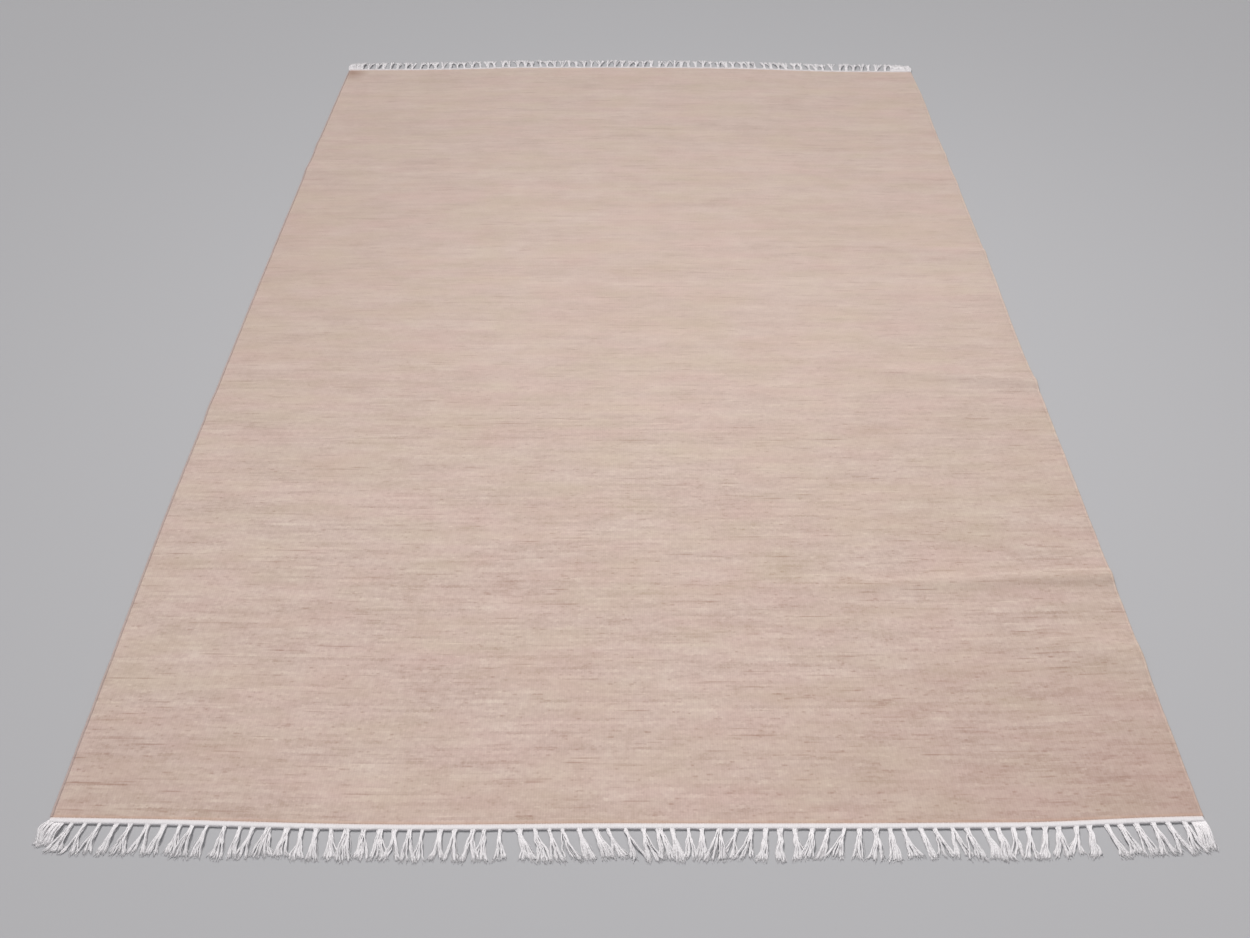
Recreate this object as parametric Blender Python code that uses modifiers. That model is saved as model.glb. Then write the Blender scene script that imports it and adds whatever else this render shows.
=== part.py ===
"""Flat-woven dhurrie rug: a thin wool field and, at each end, a cotton heading with its fringe.

The rug lies on the plane z = 0 with its length along Y. The near end is at -Y.
"""

import random
from collections import namedtuple
from math import copysign

import bmesh
import bpy
from mathutils import Vector

# Field, in metres
FIELD_WIDTH = 1.60
FIELD_LENGTH = 2.30
FIELD_THICKNESS = 0.004
FIELD_EDGE_ROUNDING = 0.0012
FIELD_COLUMNS = 32
FIELD_ROWS = 128

# How far each edge of the field bows out beyond the straight line between its corners
BOWS = {"left": 0.011, "right": 0.007, "front": 0.0065, "back": 0.020}

# Where an edge strays from its bow: the place along the edge, from -1 to 1, half the
# breadth of the stray, and how far it takes the edge outwards
Stray = namedtuple("Stray", "edge place breadth out")
STRAYS = (
    Stray(edge="front", place=-0.42, breadth=0.42, out=0.0038),
    Stray(edge="front", place=1.00, breadth=0.32, out=-0.0065),
    Stray(edge="back", place=-1.00, breadth=1.00, out=0.0080),
    Stray(edge="back", place=-0.72, breadth=0.35, out=-0.0080),
    Stray(edge="back", place=0.72, breadth=0.35, out=-0.0080),
    Stray(edge="back", place=1.00, breadth=1.00, out=-0.0080),
    Stray(edge="left", place=-0.50, breadth=0.30, out=0.0020),
    Stray(edge="right", place=-0.06, breadth=0.20, out=-0.0030),
    Stray(edge="right", place=0.85, breadth=0.15, out=0.0030),
)

# Heading
HEADING_GAP = 0.0003
HEADING_THICKNESS = 0.0035

# Fringe: each tassel leaves the heading as one stem and forks into two strands
TASSELS = 75
FRINGE_LENGTH = 0.041
LENGTH_SCATTER = 0.003
STRAND_SCATTER = 0.0015
ROOT_SCATTER = 0.0018
LEAN_SCATTER = 0.005
STEM_LENGTH = 0.008
STEM_WIDTH = 0.006
STEM_HEIGHT = 0.003
THINNEST, FULLEST = 0.72, 1.18
CORNER_FULLNESS = 1.5
CORNER_MARGIN = 0.001
TIP_CLEARANCE = 0.0015

# A soft ridge that runs in from a selvedge, where the cloth stands off the floor:
# its side, its place along Y, how far it reaches in, its height, half its breadth,
# and how far its inner end is shifted along Y
Ripple = namedtuple("Ripple", "side place reach height breadth slant")
RIPPLES = (
    Ripple(side="right", place=0.680, reach=0.36, height=0.0036, breadth=0.050, slant=0.02),
    Ripple(side="right", place=0.530, reach=0.30, height=0.0032, breadth=0.048, slant=0.03),
    Ripple(side="right", place=0.200, reach=0.60, height=0.0032, breadth=0.052, slant=0.14),
    Ripple(side="right", place=-0.205, reach=0.48, height=0.0048, breadth=0.050, slant=0.07),
    Ripple(side="right", place=-0.700, reach=0.62, height=0.0040, breadth=0.044, slant=-0.05),
    Ripple(side="right", place=-0.885, reach=0.20, height=0.0038, breadth=0.046, slant=0.05),
    Ripple(side="left", place=0.720, reach=0.20, height=0.0026, breadth=0.048, slant=0.02),
    Ripple(side="left", place=0.595, reach=0.32, height=0.0036, breadth=0.050, slant=0.02),
    Ripple(side="left", place=-0.300, reach=0.24, height=0.0026, breadth=0.052, slant=-0.03),
)

# Which way the tassels lean along each end: the place across the rug, from -1 at the
# left selvedge to 1 at the right one, and the sideways shift of the tips there
Lean = namedtuple("Lean", "across shift")
FRONT_LEANS = (
    Lean(across=-1.00, shift=-0.010),
    Lean(across=-0.80, shift=-0.008),
    Lean(across=-0.62, shift=0.000),
    Lean(across=-0.48, shift=0.006),
    Lean(across=-0.30, shift=-0.004),
    Lean(across=-0.02, shift=0.016),
    Lean(across=0.12, shift=0.002),
    Lean(across=0.37, shift=-0.015),
    Lean(across=0.52, shift=0.010),
    Lean(across=0.75, shift=-0.006),
    Lean(across=0.84, shift=0.012),
    Lean(across=1.00, shift=0.009),
)
BACK_LEANS = (
    Lean(across=-1.00, shift=0.012),
    Lean(across=-0.88, shift=0.002),
    Lean(across=-0.40, shift=-0.008),
    Lean(across=0.05, shift=0.006),
    Lean(across=0.45, shift=-0.006),
    Lean(across=1.00, shift=0.010),
)

# One end of the rug: its side of the middle (-1 near, 1 far), the depth of its heading,
# its leans and the seed of its scatter
End = namedtuple("End", "name side depth leans seed")
ENDS = (
    End(name="front", side=-1, depth=0.008, leans=FRONT_LEANS, seed=11),
    End(name="back", side=1, depth=0.012, leans=BACK_LEANS, seed=23),
)

# A cut across a strand: how far it is from fork to tip (0 to 1), its width, its height
# and how far its middle stands from the tassel's own line
Cut = namedtuple("Cut", "along width height spread")
STRAND_CUTS = (
    Cut(along=0.30, width=0.0032, height=0.0028, spread=0.0027),
    Cut(along=0.65, width=0.0044, height=0.0025, spread=0.0038),
    Cut(along=1.00, width=0.0058, height=0.0018, spread=0.0047),
)
CROWN_SHARE = 0.65         # top width of a strand's section over its bottom width
LEAN_POWER = 1.2           # above 1, a tassel leaves its heading square and then turns

# One tassel: its root's place along X, how far its tip is shifted along X, its length,
# how much its right strand is longer than that, and the fullness of its strands
Tassel = namedtuple("Tassel", "root shift length uneven fullness")

WOOL_COLOUR = (0.58, 0.45, 0.38, 1.0)
COTTON_COLOUR = (0.86, 0.84, 0.81, 1.0)


def clear_scene():
    for obj in list(bpy.data.objects):
        bpy.data.objects.remove(obj, do_unlink=True)


def make_material(name, colour, roughness):
    material = bpy.data.materials.new(name)
    material.use_nodes = True
    shader = material.node_tree.nodes["Principled BSDF"]
    shader.inputs["Base Color"].default_value = colour
    shader.inputs["Roughness"].default_value = roughness
    shader.inputs["Metallic"].default_value = 0.0
    return material


def add_object(name, bm, material, collection):
    mesh = bpy.data.meshes.new(name)
    bm.normal_update()
    bm.to_mesh(mesh)
    bm.free()
    mesh.materials.append(material)
    obj = bpy.data.objects.new(name, mesh)
    collection.objects.link(obj)
    return obj


def swell(t):
    """A smooth hump, 1 at t = 0 and 0 from |t| = 1 on."""
    return max(0.0, 1 - t * t) ** 2


def outside(edge, place):
    """How far an edge of the field lies outside the straight line between its corners."""
    strays = [s.out * swell((place - s.place) / s.breadth) for s in STRAYS if s.edge == edge]
    return BOWS[edge] * (1 - place**2) + sum(strays)


def heading_reach(end):
    """How far a heading reaches beyond the line between the field's corners."""
    return end.depth + max(outside(end.name, step / 50) for step in range(-50, 51))


# The shift along Y that brings the middle of the rug's length to the origin
CENTRING = (heading_reach(ENDS[0]) - heading_reach(ENDS[1])) / 2


def end_edge(across, end):
    """Y of the field's end edge at a place across the rug."""
    return end.side * (FIELD_LENGTH / 2 + outside(end.name, across)) + CENTRING


def field_point(across, along):
    """Plan position of a point of the field, both arguments from -1 to 1."""
    side_out = outside("right" if across > 0 else "left", along)
    end_out = outside("back" if along > 0 else "front", across)
    x = across * (FIELD_WIDTH / 2 + side_out)
    y = along * (FIELD_LENGTH / 2 + end_out) + CENTRING
    return x, y


def lift(x, y):
    """How far the cloth's underside stands off the floor."""
    height = 0.0
    for ripple in RIPPLES:
        outward = 1 if ripple.side == "right" else -1
        inward = max(0.0, FIELD_WIDTH / 2 - outward * x) / ripple.reach
        crest = ripple.place + ripple.slant * inward
        height += ripple.height * swell(inward) * swell((y - crest) / ripple.breadth)
    return height


def make_field(material, collection):
    """The field's underside as a grid, thickened upwards, its rim rounded."""
    bm = bmesh.new()
    bmesh.ops.create_grid(bm, x_segments=FIELD_COLUMNS, y_segments=FIELD_ROWS, size=1.0)
    for vert in bm.verts:
        x, y = field_point(vert.co.x, vert.co.y)
        vert.co = (x, y, lift(x, y))
    field = add_object("rug_field", bm, material, collection)

    thicken = field.modifiers.new("Thickness", "SOLIDIFY")
    thicken.thickness = FIELD_THICKNESS
    thicken.offset = 1.0
    rounding = field.modifiers.new("Rounded rim", "BEVEL")
    rounding.limit_method = "ANGLE"
    rounding.width = FIELD_EDGE_ROUNDING
    rounding.segments = 1
    return field


def reading(leans, across):
    """The tips' shift at a place across the rug, read between the rows of a table."""
    for low, high in zip(leans, leans[1:]):
        if across <= high.across:
            share = (across - low.across) / (high.across - low.across)
            return low.shift + share * (high.shift - low.shift)
    return leans[-1].shift


def lay_tassels(end):
    """The tassels of one end, from left to right, kept clear of each other."""
    scatter = random.Random(end.seed)
    pitch = FIELD_WIDTH / TASSELS
    tip_cut = STRAND_CUTS[-1]
    tassels = []
    free_from = -FIELD_WIDTH
    for index in range(TASSELS):
        root = (index + 0.5) * pitch - FIELD_WIDTH / 2 + scatter.uniform(-ROOT_SCATTER, ROOT_SCATTER)
        fullness = scatter.uniform(THINNEST, FULLEST)
        if index in (0, TASSELS - 1):
            fullness = CORNER_FULLNESS
            root = copysign(FIELD_WIDTH / 2 - fullness * STEM_WIDTH / 2 - CORNER_MARGIN, root)
        half_width = fullness * (tip_cut.spread + tip_cut.width / 2)
        shift = reading(end.leans, 2 * root / FIELD_WIDTH)
        shift += scatter.uniform(-LEAN_SCATTER, LEAN_SCATTER)
        tip = max(root + shift, free_from + half_width)
        free_from = tip + half_width + TIP_CLEARANCE
        length = FRINGE_LENGTH + scatter.uniform(-LENGTH_SCATTER, LENGTH_SCATTER)
        uneven = scatter.uniform(-STRAND_SCATTER, STRAND_SCATTER)
        tassels.append(Tassel(root, tip - root, length, uneven, fullness))
    return tassels


def heading_bar(end, tassels):
    """The heading strip as a bar with two rings of edges at each tassel's root."""
    bm = bmesh.new()
    bmesh.ops.create_cube(bm, size=2.0)
    long_edges = [e for e in bm.edges if abs(e.verts[0].co.x - e.verts[1].co.x) > 1]
    bmesh.ops.subdivide_edges(bm, edges=long_edges, cuts=2 * TASSELS, use_grid_fill=True)

    stations = [-FIELD_WIDTH / 2]
    for tassel in tassels:
        half_stem = tassel.fullness * STEM_WIDTH / 2
        stations += [tassel.root - half_stem, tassel.root + half_stem]
    stations.append(FIELD_WIDTH / 2)
    for vert in bm.verts:
        index = round((vert.co.x + 1) / 2 * (len(stations) - 1))
        x = stations[index]
        inner = end_edge(2 * x / FIELD_WIDTH, end) + end.side * HEADING_GAP
        outward = vert.co.y * end.side > 0
        y = inner + end.side * end.depth * outward
        z = HEADING_THICKNESS * (vert.co.z > 0)
        vert.co = (x, y, z)
    return bm


def root_faces(bm, end):
    """The faces on the bar's outer side that the tassels grow from, from left to right."""
    bm.normal_update()
    outer = [f for f in bm.faces if f.normal.y * end.side > 0.9]
    outer.sort(key=lambda face: face.calc_center_median().x)
    return outer[1::2]


def set_section(face, centre, width, height):
    """Give a strand's end face its place and size; it stands on the floor."""
    middle = face.calc_center_median()
    for vert in face.verts:
        side = 1 if vert.co.x > middle.x else -1
        top = vert.co.z > middle.z
        half = width / 2 * (CROWN_SHARE if top else 1.0)
        vert.co = (centre.x + side * half, centre.y, height if top else 0.0)


def pull(bm, face):
    """Extrude one face and return the face at its new end."""
    return bmesh.ops.extrude_discrete_faces(bm, faces=[face])["faces"][0]


def fork(bm, face):
    """Split a stem's end face down its middle and return the left and right halves."""
    middle = face.calc_center_median()
    level = [e for e in face.edges if abs(e.verts[0].co.z - e.verts[1].co.z) < 1e-6]
    cuts = [bmesh.utils.edge_split(e, e.verts[0], 0.5)[1] for e in level]
    other, _ = bmesh.utils.face_split(face, cuts[0], cuts[1])
    return sorted((face, other), key=lambda half: half.calc_center_median().x > middle.x)


def grow_tassel(bm, root_face, end, tassel):
    """One stem out of the heading and the two strands that it forks into."""
    start = root_face.calc_center_median()

    def point(distance, spread):
        """A point at a distance from the heading and to the side of the tassel's line."""
        shift = tassel.shift * (distance / tassel.length) ** LEAN_POWER
        return Vector((tassel.root + shift + spread, start.y + end.side * distance, 0.0))

    stem = pull(bm, root_face)
    set_section(stem, point(STEM_LENGTH, 0.0), tassel.fullness * STEM_WIDTH, STEM_HEIGHT)
    for side, strand in zip((-1, 1), fork(bm, stem)):
        free_length = tassel.length + side * tassel.uneven - STEM_LENGTH
        for cut in STRAND_CUTS:
            strand = pull(bm, strand)
            distance = STEM_LENGTH + free_length * cut.along
            centre = point(distance, side * tassel.fullness * cut.spread)
            set_section(strand, centre, tassel.fullness * cut.width, cut.height)


def make_fringe(end, material, collection):
    """One heading with its tassels, a single solid."""
    tassels = lay_tassels(end)
    bm = heading_bar(end, tassels)
    for face, tassel in zip(root_faces(bm, end), tassels):
        grow_tassel(bm, face, end, tassel)
    return add_object(end.name + "_fringe", bm, material, collection)


def main():
    clear_scene()
    collection = bpy.data.collections.new("dhurrie_rug")
    bpy.context.scene.collection.children.link(collection)
    wool = make_material("flat-woven wool", WOOL_COLOUR, 0.9)
    cotton = make_material("cotton yarn", COTTON_COLOUR, 0.85)
    make_field(wool, collection)
    for end in ENDS:
        make_fringe(end, cotton, collection)


main()
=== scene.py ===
"""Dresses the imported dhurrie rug: a woven wool field, two cotton headings and their fringe.

Run it as a script in Blender. Everything is in metres. The rug lies on z = 0 with its length
along Y, and its near end is at -Y. "Flat" coordinates are those of the cloth before it was laid:
across runs from the left selvedge to the right one, along runs from the near end to the far one.
"""

import random
from collections import namedtuple
from functools import partial
from math import pi, radians, tau

import bpy
import numpy as np
from bpy.props import FloatProperty, FloatVectorProperty, IntProperty, PointerProperty
from mathutils import Matrix, Vector, noise


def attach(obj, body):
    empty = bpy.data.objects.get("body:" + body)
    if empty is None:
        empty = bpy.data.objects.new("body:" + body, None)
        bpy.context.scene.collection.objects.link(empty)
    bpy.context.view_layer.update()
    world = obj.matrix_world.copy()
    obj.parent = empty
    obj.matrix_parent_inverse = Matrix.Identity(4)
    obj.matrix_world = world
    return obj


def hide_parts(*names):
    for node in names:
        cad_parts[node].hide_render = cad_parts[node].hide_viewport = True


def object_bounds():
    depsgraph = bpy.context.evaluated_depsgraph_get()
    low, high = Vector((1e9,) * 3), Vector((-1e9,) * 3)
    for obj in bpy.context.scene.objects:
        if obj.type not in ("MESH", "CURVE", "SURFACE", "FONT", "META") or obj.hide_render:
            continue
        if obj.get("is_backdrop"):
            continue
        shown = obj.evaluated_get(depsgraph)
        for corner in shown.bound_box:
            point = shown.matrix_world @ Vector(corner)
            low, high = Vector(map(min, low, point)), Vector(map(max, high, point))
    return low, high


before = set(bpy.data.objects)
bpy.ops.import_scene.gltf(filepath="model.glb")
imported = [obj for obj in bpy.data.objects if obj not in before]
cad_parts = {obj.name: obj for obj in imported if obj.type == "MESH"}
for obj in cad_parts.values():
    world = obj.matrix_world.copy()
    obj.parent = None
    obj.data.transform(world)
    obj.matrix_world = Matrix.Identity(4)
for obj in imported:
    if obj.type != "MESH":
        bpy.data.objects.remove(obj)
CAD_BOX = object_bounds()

bl_info = {
    "name": "Dhurrie rug",
    "version": (1, 0, 0),
    "blender": (4, 5, 0),
    "location": "3D View > Sidebar > Rug",
    "description": "Weaves a flat wool rug with cotton headings and fringe",
    "category": "Add Mesh",
}

MM = 0.001
# Coordinates on the meshes: those of the cloth before it was laid, and those of a yarn, which run
# round it from 0 to 1 and along it in metres
FLAT_LAYER, YARN_LAYER = "flat_cloth", "yarn"

# How far each edge of the laid field bows out beyond the straight line between its corners
BOWS = {"left": 0.011, "right": 0.007, "front": 0.0065, "back": 0.020}

# Where an edge strays from its bow: the place along the edge, from -1 to 1, half the
# breadth of the stray, and how far it takes the edge outwards
Stray = namedtuple("Stray", "edge place breadth out")
STRAYS = (
    Stray(edge="front", place=-0.42, breadth=0.42, out=0.0038),
    Stray(edge="front", place=1.00, breadth=0.32, out=-0.0065),
    Stray(edge="back", place=-1.00, breadth=1.00, out=0.0080),
    Stray(edge="back", place=-0.72, breadth=0.35, out=-0.0080),
    Stray(edge="back", place=0.72, breadth=0.35, out=-0.0080),
    Stray(edge="back", place=1.00, breadth=1.00, out=-0.0080),
    Stray(edge="left", place=-0.50, breadth=0.30, out=0.0020),
    Stray(edge="right", place=-0.06, breadth=0.20, out=-0.0030),
    Stray(edge="right", place=0.85, breadth=0.15, out=0.0030),
)

# Soft ridges that run in from a selvedge, where the cloth stands off the floor: side, place
# along Y, reach across the rug, height, half the breadth, and the shift of the inner end. The
# last five are sharper creases on the crests of broad ones
Ripple = namedtuple("Ripple", "side place reach height breadth slant")
RIPPLES = (
    Ripple(side="right", place=0.668, reach=0.36, height=0.0024, breadth=0.050, slant=0.02),
    Ripple(side="right", place=0.530, reach=0.30, height=0.0032, breadth=0.048, slant=0.03),
    Ripple(side="right", place=0.218, reach=0.64, height=0.0022, breadth=0.052, slant=0.06),
    Ripple(side="right", place=-0.218, reach=0.48, height=0.0028, breadth=0.050, slant=0.06),
    Ripple(side="right", place=-0.714, reach=0.66, height=0.0024, breadth=0.044, slant=-0.04),
    Ripple(side="right", place=-0.885, reach=0.20, height=0.0038, breadth=0.046, slant=0.05),
    Ripple(side="left", place=0.720, reach=0.20, height=0.0026, breadth=0.048, slant=0.02),
    Ripple(side="left", place=0.595, reach=0.32, height=0.0024, breadth=0.050, slant=0.00),
    Ripple(side="left", place=-0.300, reach=0.24, height=0.0026, breadth=0.052, slant=-0.03),
    Ripple(side="right", place=0.664, reach=0.44, height=0.0018, breadth=0.022, slant=0.030),
    Ripple(side="right", place=0.226, reach=0.70, height=0.0024, breadth=0.021, slant=0.049),
    Ripple(side="left", place=0.592, reach=0.34, height=0.0018, breadth=0.022, slant=0.000),
    Ripple(side="right", place=-0.226, reach=0.50, height=0.0036, breadth=0.021, slant=0.060),
    Ripple(side="right", place=-0.720, reach=0.78, height=0.0034, breadth=0.021, slant=-0.040),
)

# Noise that bends a face or a cord: its wavelength, its strength and, on a cord, its own row
Wave = namedtuple("Wave", "length strength row", defaults=(0,))
# Slow unevenness of the cloth's upper face: its depth, and the waves that make it up
UNEVEN_DEPTH = 0.00022
UNEVEN_WAVES = (Wave(length=0.11, strength=1.0), Wave(length=0.044, strength=0.5))

# Field mesh: its grid, and the closer steps next to its ends and to its selvedges
FIELD_COLUMNS = 100
FIELD_ROWS = 400
END_ROUNDING = 0.0004
END_STATIONS = (0.0, 0.0001, 0.0002, 0.0004, 0.0025)
SIDE_STATIONS = (0.0, 0.0012, 0.0024, 0.0040, 0.0065)

# The cloth dips where the weft draws it in beside a selvedge
DIP_DEPTH = 0.0009
DIP_PLACE = 0.0008
DIP_BREADTH = 0.0042

# Selvedge: the weft wraps round a doubled outer warp. The field's sheet ends inside this cord,
# which stands out from it by a share of the cord's breadth
SELVEDGE_WIDTH = 0.0046
SELVEDGE_COVER = 0.7
SELVEDGE_RISE = 0.0004
SELVEDGE_WRAP = 0.0022
SELVEDGE_RELIEF = 0.00016
SELVEDGE_WANDER = 0.0007
SELVEDGE_WAVES = (Wave(length=0.05, strength=1.0, row=5), Wave(length=0.012, strength=0.6, row=9))
SELVEDGE_SIDES = 8

# Heading: rows of white cotton weft, packed over the warps. HEADING_VALLEY is how high the weft
# stands between two beads, and HEADING_RIM how high the rim stands, both as shares
HEADING_GAP = 0.00005
HEADING_THICKNESS = 0.0040
HEADING_ROW = 0.0016
HEADING_RELIEF = 0.0006
HEADING_VALLEY = 0.3
HEADING_RIM = 0.22
HEADING_STATIONS_PER_WARP = 3
HEADING_STATIONS_PER_ROW = 3
# Places across a heading's depth: beside each rim, and underneath on the way back
HEADING_RIM_STATIONS = (0.0, 0.004, 0.02)
HEADING_UNDER_STATIONS = (0.9, 0.5, 0.1)
# The crown above which a heading is beaded, and how it gets lower at its two ends: over what
# length, and down to what share (squared) of its height
HEADING_BEADED = 0.3
HEADING_TAPER = 0.0018
HEADING_END_SHARE = 0.16
HEADING_ROUNDNESS = 2.6
# In warps: it keeps a station on the line between two warps on the same side of it
WARP_SLACK = 1e-9
HEADING_WANDER = 0.0008
HEADING_WANDER_LENGTH = 0.014

# Fringe: how far the tassels stray from an even row
LENGTH_SCATTER = 0.003
ROOT_SCATTER = 0.0030
LEAN_SCATTER = {"front": 0.003, "back": 0.005}
LEAN_POWER = 1.2
STEM_WIDTH = 0.0062
ROOT_FLARE = 0.45
ROOT_FLARE_LENGTH = 0.0035
THINNEST, FULLEST = 0.78, 1.25
FAN_WIDTH = 0.021
NARROWEST, WIDEST = 0.50, 1.45
# Now and then a yarn leaves its tassel at the root and lies by itself: how often, and how far
# from the tassel's middle line its tip can be
STRAY_SHARE = 0.14
STRAY_REACH = 0.013
# The locks that a tassel can part into, by the places of their tips from -1 to 1, how closely
# the yarns keep to their lock, and how far their tips scatter
LOCKS = ((-0.62, 0.62), (-0.62, 0.62), (-0.8, 0.0, 0.8), (-0.4, 0.85), (-0.85, 0.4))
LOCKED = 0.45
TIP_SCATTER = 0.30
FEWEST_YARNS = 5
# What a tassel draws for itself, as ranges in millimetres: where its locks part, how far and in
# what waves it sways, and in what length it twists once. STRAIGHTNESS is an exponent
FORK = (-4, 14)
STRAIGHTNESS = (1.0, 1.9)
SWAY, SWAY_LENGTH = (0.3, 1.8), (20, 46)
TASSEL_TWIST = (16, 30)
# How far a tassel arches off the floor, in millimetres: mean, scatter and most
ARCH_MEAN, ARCH_SCATTER, HIGHEST_ARCH = 0.5, 1.0, 3.0
# What each yarn of it draws, in millimetres: how much longer it is, where it leaves the tassel
# if it strays, and how far and in what waves it is crimped
OWN_LENGTH = (-2.2, 2.2)
STRAY_FORK = (-2, 2)
CRIMP, CRIMP_LENGTH = (0.15, 0.45), (8, 14)
# How the twist carries a yarn sideways and up, and how high the upper yarns lie, in radii
TWIST_SWAY, TWIST_RISE, UPPER_RISE = 0.5, 0.4, 1.5
# Every second tassel lies on its neighbours: how high, and by what share of its length
LAYER_RISE = 1.2 * MM
LAYER_START = 0.6
# The yarns leave the heading at this height, which holds them up for this length
ROOT_HEIGHT = 0.95 * MM
ROOT_HOLD = 7 * MM
# How much lower a yarn lies where it has come untwisted, and an upper yarn where its lock has
# opened, as shares
SETTLING = 0.75
SINKING = 0.5
ARCH_POWER = 1.4
# What each yarn of a corner tassel draws, as ranges in millimetres: how much longer it is, how
# far its tip strays, how far it sways and how much more it arches. CORNER_TURNS are waves in its
# length, and CORNER_PILE is how high it lies on the others, in radii
CORNER_LENGTH = (-3, 2)
CORNER_TIPS = (-2.5, 2.5)
CORNER_SWAY, CORNER_TURNS = (-1.6, 1.6), (0.6, 1.4)
CORNER_PILE, CORNER_PILE_START = (0, 3), 0.3
CORNER_ARCH, CORNER_ARCH_SCATTER, CORNER_ARCH_POWER = 1.6 * MM, (-0.4, 0.4), 1.2
# The outermost yarn leaves this far in from the corner, and this share of the heading's depth
# nearer to the cloth than the others. From CORNER_OUTER on, yarns count as outer ones
CORNER_INSET = 0.8 * MM
CORNER_RAISED = 0.75
CORNER_OUTER = 0.5
# Where along its length a yarn's bulge ends, and how pointed it is
BULGE_END, BULGE_POWER = 0.75, 1.3

# How far the tips lie to the right of the roots, in metres, from place to place across the rug
Lean = namedtuple("Lean", "place shift")
FRONT_LEANS = (
    Lean(place=-0.76, shift=-0.010), Lean(place=-0.72, shift=-0.008),
    Lean(place=-0.56, shift=-0.004), Lean(place=-0.48, shift=0.000),
    Lean(place=-0.40, shift=0.006), Lean(place=-0.26, shift=-0.002),
    Lean(place=-0.20, shift=-0.006), Lean(place=-0.15, shift=0.016),
    Lean(place=0.00, shift=0.018), Lean(place=0.05, shift=0.011),
    Lean(place=0.10, shift=0.001), Lean(place=0.15, shift=-0.017),
    Lean(place=0.22, shift=-0.004), Lean(place=0.24, shift=0.006),
    Lean(place=0.26, shift=-0.012), Lean(place=0.30, shift=-0.020),
    Lean(place=0.33, shift=-0.006), Lean(place=0.40, shift=0.010),
    Lean(place=0.51, shift=0.008), Lean(place=0.56, shift=-0.007),
    Lean(place=0.63, shift=-0.012), Lean(place=0.65, shift=0.017),
    Lean(place=0.71, shift=0.004), Lean(place=0.76, shift=0.009),
)
BACK_LEANS = (
    Lean(place=-0.76, shift=0.006), Lean(place=-0.70, shift=0.002),
    Lean(place=-0.32, shift=-0.008), Lean(place=0.04, shift=0.006),
    Lean(place=0.36, shift=-0.006), Lean(place=0.76, shift=0.010),
)
# The broad tassel at a corner: its yarns, its breadth, how far its tips lie outside the corner,
# how far it bulges outwards on the way there, and how much it is shorter than the others
Corner = namedtuple("Corner", "outward yarns width swing bulge shorter")
# One end of the rug: its side of the middle (-1 near, 1 far) and the depth of its heading
End = namedtuple("End", "name side depth leans corners seed")
ENDS = (
    End(name="front", side=-1, depth=0.008, leans=FRONT_LEANS, seed=11, corners=(
        Corner(outward=-1, yarns=34, width=0.022, swing=0.0080, bulge=0.0060, shorter=0.012),
        Corner(outward=1, yarns=20, width=0.019, swing=0.0010, bulge=0.0010, shorter=0.004))),
    End(name="back", side=1, depth=0.012, leans=BACK_LEANS, seed=23, corners=(
        Corner(outward=-1, yarns=46, width=0.038, swing=0.0000, bulge=0.0030, shorter=0.006),
        Corner(outward=1, yarns=52, width=0.050, swing=0.0000, bulge=0.0020, shorter=0.008))),
)
Tassel = namedtuple("Tassel", "root shift length fullness spread layer")

# Fringe yarns within a tassel
YARN_STATIONS = 15
YARN_SIDES = 6
YARN_ROOT_DEPTH = 0.003
# Towards its tip a yarn comes untwisted and lies flatter and broader
TIP_START = 0.52
TIP_FLATTENING = 0.82
TIP_BROADENING = 0.55

# Loose fibres of each yarn: how many, the share of the yarn's length at which they leave it
# (first to last), how far they fan out and curl for their length, how far beyond the yarn they
# reach, and their radius
Fray = namedtuple("Fray", "count first last fan curl reach radius")
FRAYS = (
    Fray(count=5, first=0.70, last=0.94, fan=0.36, curl=0.20, reach=0.0060, radius=0.00045),
    Fray(count=2, first=0.15, last=0.60, fan=0.08, curl=0.08, reach=0.0010, radius=0.00034),
)
FRAY_SIDES = 3
FRAY_STATIONS = 5
FRAY_FLATNESS = 0.5
FRAY_TAPER = 0.45
# Over how many of its last steps a yarn's direction is taken, for its fibres to follow
FRAY_GUIDE_STEPS = 3
# How far on a fibre runs, as a share of its reach, and how far its tip rises, in millimetres
FRAY_ONWARD = (-0.3, 1.0)
FRAY_RISE = (0.0, 0.5)
FRAY_SEED = 200


def linear(hex_code):
    """An sRGB colour such as "#CBB5A8" as linear red, green and blue."""
    values = [int(hex_code[i:i + 2], 16) / 255 for i in (1, 3, 5)]
    return [v / 12.92 if v <= 0.04045 else ((v + 0.055) / 1.055) ** 2.4 for v in values]


def size(name, default, description, **extra):
    return FloatProperty(name=name, default=default, description=description, unit="LENGTH",
                         precision=4, **extra)


def colour(name, default, description):
    return FloatVectorProperty(name=name, default=linear(default), description=description,
                               subtype="COLOR", size=3, min=0.0, max=1.0)


class RugSizes(bpy.types.PropertyGroup):
    """Sizes of the rug and its yarns."""

    width: size("Width", 1.60, "Width of the cloth between its selvedges")
    length: size("Length", 2.30, "Length of the wool field")
    thickness: size("Thickness", 0.004, "Thickness of the wool field")
    # warps and weft are drawn as coarse as the ribbing in the photo allows, so that they show
    warp_pitch: size("Warp pitch", 0.0036, "Distance between neighbouring warps")
    bead_height: size("Bead height", 0.0018, "Height of one visible turn of weft over a warp")
    tassels: IntProperty(name="Tassels", default=75, min=2, description="Tassels at each end")
    fringe_length: size("Fringe length", 0.041, "Free length of a tassel")
    yarn_width: size("Yarn width", 0.0018, "Diameter of one cotton warp yarn in the fringe")
    yarns: FloatProperty(name="Yarns", default=8.0, description="Warp yarns in an average tassel")


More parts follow.
